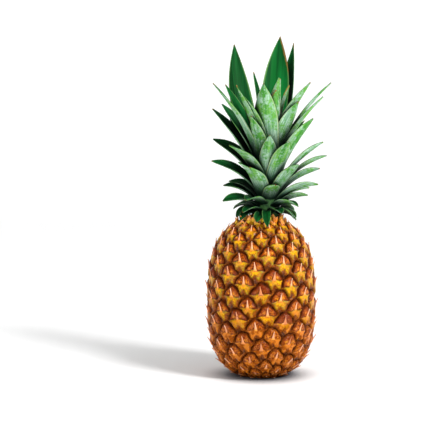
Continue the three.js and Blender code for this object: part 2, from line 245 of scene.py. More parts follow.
lift = DOME_RISE * smooth(in_dome, -0.2, 4.5)
lift += STAR_RISE * smooth(in_star, -1.0, 1.2) * (in_dome < 0.4)
lift -= DIMPLE_DEPTH * np.exp(-((from_dimple / DIMPLE_WIDTH) ** 2))
lift -= FLESH_DEPTH * smooth(-in_star, 0.5, 3) * (in_dome < 0)
lift -= GROOVE_DEPTH * np.exp(-((from_line / GROOVE_WIDTH) ** 2))
lift += UNEVENNESS * (raised[owner] - 0.6) * smooth(from_line, 0.5, 3)
lift *= eye_scale(row_count)[:, None]
rind_vertices = rind_points(
    np.repeat(row_count[:, None], RIND_SIDES, axis=1),
    np.repeat(column_azimuth[None, :], len(rows), axis=0),
    lift,
)
rind_vertices[..., 2] = np.clip(rind_vertices[..., 2], 0, RIND_TOP)
k, j = np.meshgrid(np.arange(len(rows) - 1), np.arange(RIND_SIDES), indexing="ij")
right = (j + 1) % RIND_SIDES
corners = [k * RIND_SIDES + j, k * RIND_SIDES + right]
corners += [(k + 1) * RIND_SIDES + right, (k + 1) * RIND_SIDES + j]
rind_faces = np.stack(corners, axis=-1).reshape(-1, 4)
row_level = along_outline(row_count, outline_height) / SHOULDER_HEIGHT
levels = np.repeat(row_level[:, None], RIND_SIDES, axis=1)


def make_piece(name, points, faces, marks=None, sharp=50):
    """A mesh from points in millimetres, smooth but for edges sharper than the given degrees,
    with named marks on its points that the materials read."""
    mesh = bpy.data.meshes.new(name)
    mesh.from_pydata((points.reshape(-1, 3) * MM).tolist(), [], faces)
    for mark_name, values in (marks or {}).items():
        layer = mesh.attributes.new(mark_name, "FLOAT_VECTOR", "POINT")
        layer.data.foreach_set("vector", np.ascontiguousarray(values, np.float32).ravel())
    mesh.shade_smooth()
    mesh.set_sharp_from_angle(angle=math.radians(sharp))
    piece = bpy.data.objects.new(name, mesh)
    bpy.context.scene.collection.objects.link(piece)
    return piece


rind_marks = {
    "eye": np.stack([in_dome, in_star, from_line], axis=-1),
    "places": np.stack([from_middle, from_dimple, levels], axis=-1),
    "draws": np.stack([ripe[owner], dark[owner], glowing[owner]], axis=-1),
}
rind = make_piece("rind", rind_vertices, rind_faces.tolist(), rind_marks, sharp=180)
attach(rind, "root")
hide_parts("fruit")

SMOOTH = {"interpolation_type": "SMOOTHSTEP"}


def colour(screen):
    """A screen colour such as F0B824 as the linear colour that a shader takes."""
    parts = [int(screen[k : k + 2], 16) / 255 for k in (0, 2, 4)]
    linear = [p / 12.92 if p <= 0.04045 else ((p + 0.055) / 1.055) ** 2.4 for p in parts]
    return (*linear, 1)


def add(tree, kind, inputs, out=0, **settings):
    """Adds a node with its settings and gives one of its outputs. Each input is linked from a
    socket, or set to a number or to a screen colour."""
    node = tree.nodes.new("ShaderNode" + kind)
    for name, value in settings.items():
        setattr(node, name, value)
    for key, value in inputs.items():
        if isinstance(value, bpy.types.NodeSocket):
            tree.links.new(value, node.inputs[key])
        else:
            node.inputs[key].default_value = colour(value) if isinstance(value, str) else value
    return node.outputs[out] if node.outputs else None


def paint(tree, base, over, pattern, none_at, full_at, strength=1.0):
    """Paints a colour over the base: not at all where the pattern is none_at, and with full
    strength where it is full_at."""
    sockets = {0: pattern, 1: none_at, 2: full_at, 4: strength}
    share = add(tree, "MapRange", sockets, **SMOOTH)
    return add(tree, "Mix", {0: share, 6: base, 7: over}, out=2, data_type="RGBA")


def mark(tree, name):
    """The three numbers of a mark on the mesh."""
    vector = add(tree, "Attribute", {}, out="Vector", attribute_name=name)
    return [add(tree, "SeparateXYZ", {0: vector}, out=k) for k in range(3)]


def new_material(name):
    """An empty material, its tree, and the place on the object in metres."""
    material = bpy.data.materials.new(name)
    material.use_nodes = True
    tree = material.node_tree
    tree.nodes.clear()
    return material, tree, add(tree, "TexCoord", {}, out="Object")


def finish_material(tree, base, roughness, relief, depth, specular, wax=0.0):
    """The surface: a base colour, its roughness, a fine relief of the given depth in
    millimetres, its specular level, and the share of it that has a thin clear coat of wax."""
    bump = add(tree, "Bump", {"Height": relief, "Distance": depth * MM, "Strength": 1.0})
    sockets = {"Base Color": base, "Roughness": roughness, "Normal": bump}
    sockets["Specular IOR Level"] = specular
    sockets["Coat Weight"] = wax
    sockets["Coat Roughness"] = 0.1
    sockets["Coat Normal"] = bump
    surface = add(tree, "BsdfPrincipled", sockets)
    add(tree, "OutputMaterial", {"Surface": surface})


def rind_material():
    """Ripe pineapple rind, grown in the sun: yellow stars with a waxy gloss, rusty papery domes
    and near-black sunken grooves, all blotched and scuffed."""
    material, tree, place = new_material("pineapple rind")
    dome_mm, star_mm, line_mm = mark(tree, "eye")
    middle_mm, dimple_mm, level = mark(tree, "places")
    ripeness, darkness, painted_glow = mark(tree, "draws")

    # Blotches 16, 5 and 1.4 mm wide. The fine cracks and hairs of the rind are about 0.2 mm
    # wide, too fine to show, so they are drawn 0.8 mm wide.
    blotch = {"Vector": place, "Roughness": 0.55}
    wide = add(tree, "TexNoise", {**blotch, "Scale": 1 / (16 * MM), "Detail": 2})
    coarse = add(tree, "TexNoise", {**blotch, "Scale": 1 / (5 * MM), "Detail": 3})
    fine = add(tree, "TexNoise", {**blotch, "Scale": 1 / (1.4 * MM), "Detail": 4})
    crack = {"Vector": place, "Scale": 1 / (0.8 * MM), "Detail": 4, "Roughness": 0.75}
    cracks = add(tree, "TexNoise", crack)
    ragged = add(tree, "Math", {0: fine, 1: 0.5}, operation="SUBTRACT")
    star_edge = add(tree, "Math", {0: ragged, 1: 2.4, 2: star_mm}, operation="MULTIPLY_ADD")
    dome_edge = add(tree, "Math", {0: ragged, 1: 0.8, 2: dome_mm}, operation="MULTIPLY_ADD")

    # The fruit ripens from below: stars and domes turn the same rusty bronze there
    low_down = add(tree, "Math", {0: level, 1: -3.2, 2: 1.06}, operation="MULTIPLY_ADD")
    ripe = add(tree, "Math", {0: ripeness, 1: 0.6, 2: low_down}, operation="MULTIPLY_ADD")
    ripe = add(tree, "Math", {0: wide, 1: 0.8, 2: ripe}, operation="MULTIPLY_ADD")

    # Domes: rusty paper, with painted shade darkest at the rim, and at the dimples a painted
    # highlight, as of the amber flesh glowing through the thin dome
    dome = paint(tree, "5C1C02", "A44A08", fine, 0.4, 0.6)
    dome = paint(tree, dome, "B05804", coarse, 0.5, 0.7)
    dome = paint(tree, dome, "6E2404", darkness, 0.4, 1.0)
    # Painted shade: darker at the rim of the dome, where it dips to the groove.
    dome = paint(tree, dome, "4C1802", dome_mm, 2.6, 0.3)
    amber = paint(tree, "B05808", "EC9614", fine, 0.42, 0.58)
    thin = add(tree, "MapRange", {0: coarse, 1: 0.34, 2: 0.54}, **SMOOTH)
    painted_glow = add(tree, "Math", {0: level, 1: 0.6, 2: painted_glow}, operation="MULTIPLY_ADD")
    painted_glow = add(tree, "MapRange", {0: painted_glow, 1: 0.2, 2: 1.1, 4: thin}, **SMOOTH)
    # Painted highlight: amber at the dimples, as of light glowing through the thin dome.
    dome = paint(tree, dome, amber, dimple_mm, 3.4, 0.8, painted_glow)
    bronze = paint(tree, "702602", "C27012", fine, 0.42, 0.58)
    dome = paint(tree, dome, bronze, ripe, 0.3, 1.3, 0.6)

    # Stars: yellow skin, orange in the middle, olive at the ends and in green fringes
    skin = paint(tree, "EAAC04", "B07400", coarse, 0.3, 0.7)
    skin = paint(tree, skin, "AE6800", fine, 0.5, 0.68)
    skin = paint(tree, skin, "907C0C", middle_mm, 7.0, 12.0)
    skin = paint(tree, skin, "E88E22", middle_mm, 5.0, 1.0)
    greener = add(tree, "MapRange", {0: wide, 1: 0.38, 2: 0.52}, **SMOOTH)
    skin = paint(tree, skin, "857A0A", star_edge, 2.0, 0.3, greener)
    worn = add(tree, "MapRange", {0: fine, 1: 0.42, 2: 0.58, 4: 0.75}, **SMOOTH)
    skin = paint(tree, skin, "8C4A06", middle_mm, 3.0, 9.0, worn)
    rust = paint(tree, "7E2C02", "C46A06", coarse, 0.42, 0.58)
    skin = paint(tree, skin, rust, ripe, -0.1, 1.0, 0.9)

    # The brown flesh between them shows where there is neither star nor dome
    flesh = paint(tree, "662C04", "984E04", fine, 0.35, 0.65)
    flesh = paint(tree, flesh, "4A2004", star_edge, -1.0, -4.0)
    base = paint(tree, flesh, skin, star_edge, -0.4, 0.5)
    base = paint(tree, base, dome, dome_edge, -0.2, 0.4)
    base = paint(tree, base, "541E00", cracks, 0.54, 0.66, 0.6)
    # Painted glints: pale flecks along the fine hairs.
    base = paint(tree, base, "D48C30", cracks, 0.43, 0.33, 0.4)

    # Grooves: dirt and dry scale, in a ragged line, with painted shade in a wider band beside
    # them.
    # The occlusion paints the shade where light doesn't reach into them, less so towards the
    # foot.
    # Painted shade: a wider brown band beside each groove.
    groove_shade = add(tree, "Math", {0: coarse, 1: 2.0, 2: line_mm}, operation="MULTIPLY_ADD")
    base = paint(tree, base, "5A2004", groove_shade, 2.8, 1.4, 0.5)
    groove = add(tree, "Math", {0: ragged, 1: 2.8, 2: line_mm}, operation="MULTIPLY_ADD")
    groove = add(tree, "Math", {0: coarse, 1: 3.4, 2: groove}, operation="MULTIPLY_ADD")
    higher = add(tree, "MapRange", {0: level, 1: -0.5, 2: 0.5}, **SMOOTH)
    groove = add(tree, "MapRange", {0: groove, 1: 2.3, 2: 1.4, 4: higher}, **SMOOTH)
    base = add(tree, "Mix", {0: groove, 6: base, 7: "160600"}, out=2, data_type="RGBA")
    open_sky = add(tree, "AmbientOcclusion", {"Distance": 9 * MM}, out="AO", samples=8)
    higher = add(tree, "MapRange", {0: level, 1: -0.8, 2: 1.1}, **SMOOTH)
    base = paint(tree, base, "2E0E00", open_sky, 0.96, 0.36, higher)

    # Dry grooves are matt, and the raised parts have patches of wax
    rough = add(tree, "MapRange", {0: groove, 3: 0.36, 4: 1.0})
    relief = add(tree, "Math", {0: fine, 1: 0.8}, operation="MULTIPLY")
    relief = add(tree, "Math", {0: coarse, 1: 0.7, 2: relief}, operation="MULTIPLY_ADD")
    relief = add(tree, "Math", {0: cracks, 1: 0.3, 2: relief}, operation="MULTIPLY_ADD")
    wax = add(tree, "MapRange", {0: line_mm, 1: 1.2, 2: 2.6, 4: 0.4}, **SMOOTH)
    wax = add(tree, "MapRange", {0: coarse, 1: 0.42, 2: 0.58, 4: wax}, **SMOOTH)
    finish_material(tree, base, rough, relief, 0.7, 0.05, wax)
    return material


rind.data.materials.append(rind_material())

# The bract tips
# The bract under each eye ends in a dry papery spike, pale salmon to straw. It stands up from
# the middle of the star and lies over the dome.
TIP_LENGTH = 9.5
TIP_STAND = 3.0
TIP_HALF_WIDTH = 1.9
TIP_POINT = 0.12
TIP_ROOT = 1.2
TIP_RIDGE = 0.5
TIP_LIFT = 0.75
TIP_DROOP = 0.45
TIP_LEAN = 1.6
TIP_PAPER = 0.45
TIP_STATIONS = 7
TIP_SIDES = np.array([-1, -0.5, 0, 0.5, 1])
TIP_NECK_RADIUS = 24
TIP_LOWEST = 0.3
TIP_HIGHEST = SHOULDER_HEIGHT - 1.2

tip_t = np.linspace(0, 1, TIP_STATIONS + 1)
tip_width = TIP_HALF_WIDTH * (0.85 * (1 - tip_t) ** 1.1 + 0.15 * (1 - tip_t) ** 0.5) + TIP_POINT
tip_width = tip_width + TIP_ROOT * np.exp(-tip_t / 0.08)
tip_ridge = TIP_RIDGE * (1 - np.abs(TIP_SIDES))[None, :] * (1 - 0.6 * tip_t[:, None])
tip_lift = TIP_LIFT + tip_ridge + TIP_STAND * tip_t[:, None] ** 1.6
tip_lift = tip_lift - TIP_DROOP * np.abs(TIP_SIDES)[None, :]
tip_points = []
tip_faces = []
tip_marks = []
for i in range(len(eyes)):
    radius = along_outline(eye_count[i], outline_radius)
    if radius < TIP_NECK_RADIUS and eye_height[i] > WAIST_HEIGHT:
        continue
    size = eye_scale(eye_count[i])
    lean = TIP_LEAN * (glowing[i] - 0.5)
    start = len(tip_points) * len(TIP_SIDES)
    x = TIP_SIDES[None, :] * tip_width[:, None] + lean * tip_t[:, None] ** 1.5
    y = np.repeat((TIP_LENGTH * tip_t - 1.0)[:, None], len(TIP_SIDES), axis=1)
    turn = np.degrees(x * size / radius)
    count = eye_count[i] + y * size / along_outline(eye_count[i], outline_eye)
    tip_points += list(rind_points(count, eye_azimuth[i] + turn, tip_lift * size))
    for k in range(TIP_STATIONS):
        for j in range(len(TIP_SIDES) - 1):
            a = start + k * len(TIP_SIDES) + j
            tip_faces.append((a, a + 1, a + 1 + len(TIP_SIDES), a + len(TIP_SIDES)))
    tip_marks += [(side, t, dark[i]) for t in tip_t for side in TIP_SIDES]
tip_points = np.array(tip_points)
tip_points[..., 2] = np.clip(tip_points[..., 2], TIP_LOWEST, TIP_HIGHEST)
bract_tips = make_piece("bract_tips", tip_points, tip_faces, {"tip": tip_marks}, sharp=80)
paper = bract_tips.modifiers.new("paper", "SOLIDIFY")
paper.thickness = TIP_PAPER * MM
paper.offset = -1
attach(bract_tips, "root")


def bract_material():
    """Dry bract paper, left by the flower: salmon at the foot, straw at the point, with frayed
    brown flanks. Its fibres are about 0.1 mm wide and are drawn 0.5 mm wide, to show."""
    material, tree, place = new_material("dry bract paper")
    side, along, shade = mark(tree, "tip")
    fibre = {"Vector": place, "Scale": 1 / (0.5 * MM), "Detail": 3, "Roughness": 0.55}
    fibres = add(tree, "TexNoise", fibre)
    flank = add(tree, "Math", {0: side}, operation="ABSOLUTE")
    frayed = add(tree, "Math", {0: fibres, 1: 0.5, 2: flank}, operation="MULTIPLY_ADD")
    base = paint(tree, "F0942A", "EEAA80", along, 0.05, 0.4)
    base = paint(tree, base, "F2CDAE", along, 0.5, 1.0)
    base = paint(tree, base, "B8602A", frayed, 0.75, 1.25)
    base = paint(tree, base, "9A4A1C", fibres, 0.5, 0.75, 0.6)
    base = paint(tree, base, "C87A4A", shade, 0.5, 1.0)
    finish_material(tree, base, 0.55, fibres, 0.15, 0.2)
    return material


bract_tips.data.materials.append(bract_material())

# The neck
# The top of the fruit narrows to a short neck, a plain cone of flesh that carries the crown.
# It is hidden by the bracts that stand round it.
NECK_HEIGHT = 171
NECK_RADIUS = 18
NECK_X = 3
NECK_SIDES = 48
NECK_PROFILE = [
    (NECK_RADIUS + 3, NECK_HEIGHT - 21),
    (NECK_RADIUS + 1.5, NECK_HEIGHT - 5),
    (NECK_RADIUS - 1, NECK_HEIGHT - 0.3),
]


def turned_piece(name, profile, sides, x=0.0):
    """A round piece about a vertical axis from (radius, height) pairs, in millimetres."""
    angles = np.linspace(0, 2 * np.pi, sides, endpoint=False)
    rings = [
        np.stack([x + r * np.sin(angles), -r * np.cos(angles), np.full(sides, z)], axis=1)
        for r, z in profile
    ]
    faces = []
    for k in range(len(profile) - 1):
        for j in range(sides):
            a = k * sides + j
            b = k * sides + (j + 1) % sides
            faces.append((a, b, b + sides, a + sides))
    faces.append(tuple(range(sides - 1, -1, -1)))
    faces.append(tuple(range((len(profile) - 1) * sides, len(profile) * sides)))
    return make_piece(name, np.concatenate(rings), faces)


neck = turned_piece("neck", NECK_PROFILE, NECK_SIDES, NECK_X)
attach(neck, "root")

# The neck's bracts
# A collar of short orange and rusty bracts grows round the neck, where the eyes run out under
# the crown: small stiff channelled leaves, fleshy at the foot and dry at the point.
COLLAR_BRACTS = 15
COLLAR_ROOTS = ((29, 155), (17, 157))
COLLAR_TIPS = ((27.5, 166.5), (20.5, 170))
COLLAR_THICKNESS = 1.4
UPRIGHT_BRACTS = 64
UPRIGHT_RADII = (33, 21)
UPRIGHT_THICKNESS = 1.0
GOLDEN_ANGLE = 137.508
BLADE_FOLD = 0.75
BLADE_EDGE = 0.8
BLADE_HANDLE = 0.38
BLADE_LEAST_HALF_WIDTH = 0.35


def turned_about(vector, axis, angle):
    """Vectors turned about unit axes, row by row."""
    c = np.cos(angle)[:, None]
    s = np.sin(angle)[:, None]
    along = np.sum(vector * axis, axis=1)[:, None]
    return vector * c + np.cross(axis, vector) * s + axis * along * (1 - c)


def blade_shape(t, bluntness):
    """The half width along a blade, as a share of its widest."""
    broad_at = 0.3 + 0.26 * bluntness
    rising = 0.8 + 0.2 * np.sin(np.minimum(1, t / broad_at) * np.pi / 2)
    beyond = np.maximum(0, t - broad_at) / (1 - broad_at)
    return rising - beyond ** (1.4 + 1.1 * bluntness)


def spine_curve(root, tip, bow, t):
    """Places and directions along a blade's spine, as pairs of reach and height. It leaves the
    root and meets the tip at the bow's angle to the straight line between them."""
    chord = math.hypot(tip[0] - root[0], tip[1] - root[1])
    slope = math.atan2(tip[1] - root[1], tip[0] - root[0])
    bend = math.radians(bow)
    handle = chord * BLADE_HANDLE
    p0 = np.array(root, float)
    p1 = p0 + handle * np.array((math.cos(slope + bend), math.sin(slope + bend)))
    p3 = np.array(tip, float)
    p2 = p3 - handle * np.array((math.cos(slope - bend), math.sin(slope - bend)))
    s = 1 - t
    at = np.outer(s**3, p0) + np.outer(3 * s * s * t, p1)
    at = at + np.outer(3 * s * t * t, p2) + np.outer(t**3, p3)
    way = np.outer(s * s, p1 - p0) + np.outer(2 * s * t, p2 - p1) + np.outer(t * t, p3 - p2)
    return chord, at, way / np.linalg.norm(way, axis=1)[:, None]


def blade_faces(stations, columns):
    """Faces of a blade whose outer points come first, then its inner ones."""
    n = columns + 1
    below = n * (stations + 1)
    faces = []
    for k in range(stations):
        for j in range(columns):
            a = k * n + j
            faces.append((a, a + 1, a + 1 + n, a + n))
            b = a + below
            faces.append((b, b + n, b + 1 + n, b + 1))
        left = k * n
        right = k * n + columns
        faces.append((left, left + n, left + n + below, left + below))
        faces.append((right, right + below, right + n + below, right + n))
    low = list(range(n)) + list(range(below + n - 1, below - 1, -1))
    faces.append(tuple(reversed(low)))
    faces.append(tuple(p + stations * n for p in low))
    return faces


def blade(root, tip, azimuth, width, bow, sway, roll, thickness, stations, columns, wave=0.0):
    """Points of one blade in millimetres, those of the outer face first, its faces, and for
    each point its place across and along the blade and how near it is to the rim."""
    t = np.linspace(0, 1, stations + 1)
    chord, at, way = spine_curve(root, tip, bow, t)
    angle = math.radians(azimuth)
    outwards = np.array([math.sin(angle), -math.cos(angle), 0])
    sideways = np.array([math.cos(angle), math.sin(angle), 0])
    up = np.array([0, 0, 1.0])
    forward = way[:, :1] * outwards + way[:, 1:] * up
    under = way[:, 1:] * outwards - way[:, :1] * up
    turn = -np.radians(roll * t)
    outside = turned_about(under, forward, turn)
    aside = turned_about(np.tile(sideways, (len(t), 1)), forward, turn)
    spine = at[:, :1] * outwards + at[:, 1:] * up + (sway * t * t)[:, None] * sideways
    bluntness = min(1, max(0, (width / chord - 0.1) / 0.12))
    half_width = np.maximum(BLADE_LEAST_HALF_WIDTH, width / 2 * blade_shape(t, bluntness))
    side = np.linspace(-1, 1, columns + 1)
    across = half_width[:, None] * np.sin(BLADE_FOLD * side) / BLADE_FOLD
    inwards = half_width[:, None] * (1 - np.cos(BLADE_FOLD * side)) / BLADE_FOLD
    ripple = wave * np.sin(9 * t[:, None] + 2 * side[None, :]) * side[None, :] ** 2
    spine_half = (thickness + (BLADE_EDGE - thickness) * t)[:, None] / 2
    half_thick = spine_half + (BLADE_EDGE / 2 - spine_half) * np.abs(side)[None, :]
    centre = spine[:, None] + across[..., None] * aside[:, None]
    centre = centre - (inwards + ripple)[..., None] * outside[:, None]
    outer = centre + half_thick[..., None] * outside[:, None]
    inner = centre - half_thick[..., None] * outside[:, None]
    points = np.concatenate([outer.reshape(-1, 3), inner.reshape(-1, 3)])
    side, t = np.meshgrid(side, t)
    place = np.stack([side * half_width[:, None], t * chord, t], axis=-1).reshape(-1, 3)
    rim = np.abs(side).ravel()
    places = np.concatenate([place, place])
    return points, blade_faces(stations, columns), places, np.concatenate([rim, rim])


def joined_blades(name, blades):
    """Several blades as one piece, each with its level and draw for the materials, and the face:
    1 in the middle of the outer face to 2 at its rim, 0 to -1 on the inner one."""
    points = []
    faces = []
    places = []
    grown = []
    start = 0
    for made, level, drawn in blades:
        one_points, one_faces, place, rim = made
        points.append(one_points)
        faces += [tuple(p + start for p in face) for face in one_faces]
        places.append(place)
        outer = np.arange(len(rim)) < len(rim) / 2
        face = np.where(outer, 1.0 + rim, -rim)
        grown.append(np.stack([face, 0 * rim + level, 0 * rim + drawn], axis=1))
        start += len(one_points)
    marks = {"blade": np.concatenate(places), "grown": np.concatenate(grown)}
    return make_piece(name, np.concatenate(points), faces, marks, sharp=45)


def between(pair, share):
    """The point at a share of the way between two."""
    return tuple(a + (b - a) * share for a, b in zip(*pair))


collar = []
collar_draws = draw.random((COLLAR_BRACTS, 2))
for i in range(COLLAR_BRACTS):
    share = i / (COLLAR_BRACTS - 1)
    made = blade(
        root=between(COLLAR_ROOTS, share),
        tip=between(COLLAR_TIPS, share),
        azimuth=GOLDEN_ANGLE * i,
        width=9,
        bow=8,
        sway=0,
        roll=0,
        thickness=COLLAR_THICKNESS,
        stations=10,
        columns=6,
    )
    made[0][:, 0] += NECK_X
    collar.append((made, share, collar_draws[i, 0]))
above_waist = slice(OUTLINE_STEPS // 2, None)
for i in range(UPRIGHT_BRACTS):
    level, up, size, turn = draw.random(4)
    radius = UPRIGHT_RADII[0] + (UPRIGHT_RADII[1] - UPRIGHT_RADII[0]) * i / UPRIGHT_BRACTS
    height = np.interp(-radius, -outline_radius[above_waist], outline_height[above_waist])
    made = blade(
        root=(radius - 2, height - 3),
        tip=(radius - 6 + 4 * level, height + 4 + 5 * up),
        azimuth=GOLDEN_ANGLE * i + 12 * turn,
        width=4 + 3 * size,
        bow=14,
        sway=5 * (turn - 0.5),
        roll=30 * (level - 0.5),
        thickness=UPRIGHT_THICKNESS,
        stations=8,
        columns=4,
    )
    made[0][:, 0] += NECK_X * i / UPRIGHT_BRACTS
    collar.append((made, level, size))
collar_bracts = joined_blades("collar_bracts", collar)
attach(collar_bracts, "root")


def collar_material():
    """Bracts of the neck, half dried: orange and yellow flesh in blotches 3 mm wide, salmon at
    the dry point, with rusty fibres. These are drawn 0.7 mm wide, coarser than life, to show."""
    material, tree, place = new_material("neck bracts")
    t = mark(tree, "blade")[2]
    drawn = mark(tree, "grown")[2]
    spotty = {"Vector": place, "Detail": 3, "Roughness": 0.55}
    blotch = add(tree, "TexNoise", {**spotty, "Scale": 1 / (3 * MM)})
    fibres = add(tree, "TexNoise", {**spotty, "Scale": 1 / (0.7 * MM)})
    base = paint(tree, "B84C0A", "F49A18", blotch, 0.35, 0.6)
    base = paint(tree, base, "E0B81E", drawn, 0.55, 0.9)
    base = paint(tree, base, "E89A56", t, 0.55, 1.0)
    base = paint(tree, base, "8A300A", fibres, 0.5, 0.64)
    # Painted shade: near-black at the foot of each bract, down between them.
    base = paint(tree, base, "2C0E02", t, 0.5, 0.15)
    finish_material(tree, base, 0.6, fibres, 0.3, 0.15)
    return material


neck_bracts = collar_material()
collar_bracts.data.materials.append(neck_bracts)
# The neck has no marks, so it takes the painted shade of the bracts' feet all over.
neck.data.materials.append(neck_bracts)

# The foot
# Under the fruit the last eyes close in on a flat ring of dry brown skin. It turns up into the
# socket that the cut stalk sits in.
SOCKET_RADIUS = 12.85
SOCKET_HEIGHT = 9.35
FOOT_SIDES = 48
FOOT_PROFILE = [
    (SOCKET_RADIUS + 9, 1.5),
    (SOCKET_RADIUS + 8, 0.3),
    (SOCKET_RADIUS, 0.3),
    (SOCKET_RADIUS, SOCKET_HEIGHT),
]

foot = turned_piece("foot", FOOT_PROFILE, FOOT_SIDES)
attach(foot, "root")


def foot_material():
    """Dry brown skin, rubbed on crates and shelves: matt, in blotches 2.5 mm wide."""
    material, tree, place = new_material("dry foot skin")
    spotty = {"Vector": place, "Scale": 1 / (2.5 * MM), "Detail": 3, "Roughness": 0.55}
    blotch = add(tree, "TexNoise", spotty)
    base = paint(tree, "5A3010", "8A5A24", blotch, 0.35, 0.65)
    finish_material(tree, base, 0.8, blotch, 0.3, 0.2)
    return material


foot.data.materials.append(foot_material())


# The stalk
# The stub of the stem that the fruit grew on, cut flush with the flat spot it stands on. Its
# shape comes from the solids, and it gets its cut fibres here.
def stalk_material():
    """Cut stalk: pale tan fibres seen end on, with browner blotches 5 mm wide where the cut has
    dried. The fibre bundles are about 0.9 mm wide."""
    material, tree, place = new_material("cut stalk fibre")
    dry = {"Vector": place, "Roughness": 0.55}
    fibres = add(tree, "TexNoise", {**dry, "Scale": 1 / (0.9 * MM), "Detail": 4})
    blotch = add(tree, "TexNoise", {**dry, "Scale": 1 / (5 * MM), "Detail": 2})
    base = paint(tree, "7A5A34", "C9B080", fibres, 0.4, 0.62)
    base = paint(tree, base, "8A6A44", blotch, 0.45, 0.7, 0.6)
    finish_material(tree, base, 0.85, fibres, 0.4, 0.15)
    return material


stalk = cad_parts["stalk"]
stalk.data.materials.clear()
stalk.data.materials.append(stalk_material())

# The crown
# Stiff channelled leaves clasp a short stem along the golden spiral, from the short ones that
# hang over the shoulder to the tall ones of the heart, and each ends in a sharp point.
CROWN_X = 6
CROWN_BOTTOM = 171.35
STEM_HEIGHT = 62
LOWEST_LEAF = -9
TOP_LEAF = 57
FIRST_LEAF_AZIMUTH = -172.4
LEAF_ROOT_RADII = (9, 4)
LEAF_ROOT_RISE = 2.6
LEAF_ROOT_TOP = 0.8 * STEM_HEIGHT
LEAF_ROOT_POWER = 1.6
LEAF_THICKNESS = 1.9
LEAF_ROLL = 32
LEAF_SWAY = 3
LEAF_TWIST = 8
LEAF_WAVE = 0.25
LEAF_SEED = 20

# Leaf number: turn off the golden angle in degrees, reach of the tip from the stem and height
# above the base, width of the blade in millimetres, and how far it bows outwards in degrees
SET_LEAVES = {
    -4: (8, 34, 177, 14, 38),
    -1: (-10, 36, 178, 13, 38),
    1: (10, 33, 171, 15, 40),
    2: (0, 33, 171, 16, 42),
    3: (-20, 33, 174, 15, 38),
    4: (0, 40, 163.5, 10, 40),
    5: (22, 42, 178, 17, 36),
    6: (0, 44, 195, 16, 24),
    7: (-18, 49, 189, 17, 34),
    8: (-28, 40, 174, 16, 38),
    9: (24, 40, 184, 18, 34),
    10: (0, 49, 204, 18, 34),
    11: (0, 52, 201, 16, 22),
    12: (-18, 35, 191, 20, 34),
    14: (12, 56, 207, 16, 24),
    15: (27, 41, 231, 22, 22),
    17: (6, 27, 207, 19, 18),
    18: (12, 47, 208, 17, 30),
    19: (0, 57, 223, 17, 22),
    20: (13, 34, 226, 23, 10),
    22: (4, 46, 229, 19, 12),
    23: (0, 60, 231, 18, 26),
    24: (-16, 69, 236, 17, 20),
    25: (10, 36, 260, 21, 6),
    27: (-7, 52, 277, 21, 14),
    28: (13, 53, 249, 26, 24),
    30: (8, 47, 253, 22, 10),
    31: (4, 63, 254, 24, 22),
    32: (0, 63, 251, 19, 12),
    33: (0, 33, 280, 23, 8),
    35: (0, 38, 295, 23, 13),
    36: (-18, 60, 287, 21, 12),
    38: (-13, 34, 314, 30, 6),
    40: (8, 60, 300, 17, 16),
    41: (6, 36, 300, 26, 10),
    43: (5, 22, 320, 23, 6),
    44: (4, 50, 292, 21, 12),
    45: (-8, 75, 315, 18, 16),
    46: (0, 18, 290, 16, 4),
    47: (15, 60, 357, 31, -16),
    48: (0, 49, 315, 19, 17),
    49: (4, 62, 314, 21, 12),
    50: (0, 60, 359, 25, -9),
    52: (0, 56, 313, 19, 6),
    54: (-12, 44, 312, 20, 6),
    55: (-20, 56, 366, 33, -6),
    57: (0, 15, 326, 18, 4),
}

# Leaves that aren't listed follow one rule: they reach out further up to two fifths of the
# way, close in over the heart, and grow taller, broader and straighter as they go up
LOW_LEAF = (31, 171, 13, 42)
RULE_REACH = (32, 60)
RULE_HEART_REACH = (40, 15)
RULE_SPREAD = 0.4
RULE_HEART = 0.8
RULE_HEIGHTS = (CROWN_BOTTOM + 2, 148)
RULE_WIDTHS = (15, 6)
RULE_BOWS = (36, 30)


def growth_rule(i):
    """Where a leaf stands if it isn't listed, in the order of the table above."""
    if i < 0:
        low = -i / 10
        reach, height, width, bow = LOW_LEAF
        return 0, reach + 2 * low, height - 3.5 * low, width, bow
    share = i / TOP_LEAF
    if share < RULE_HEART:
        spread = math.sin(min(1, share / RULE_SPREAD) * math.pi / 2)
        reach = RULE_REACH[0] + (RULE_REACH[1] - RULE_REACH[0]) * spread
    else:
        closing = (share - RULE_HEART) / (1 - RULE_HEART)
        reach = RULE_HEART_REACH[0] + (RULE_HEART_REACH[1] - RULE_HEART_REACH[0]) * closing
    height = RULE_HEIGHTS[0] + RULE_HEIGHTS[1] * share**0.9
    width = RULE_WIDTHS[0] + RULE_WIDTHS[1] * min(1, share * 1.6)
    bow = RULE_BOWS[0] - RULE_BOWS[1] * min(1, share * 1.3)
    return 0, reach, height, width, bow


def draws_from(seed):
    """A repeatable stream of draws between 0 and 1."""
    state = seed
    while True:
        state = (state * 16807) % 2147483647
        yield state / 2147483647


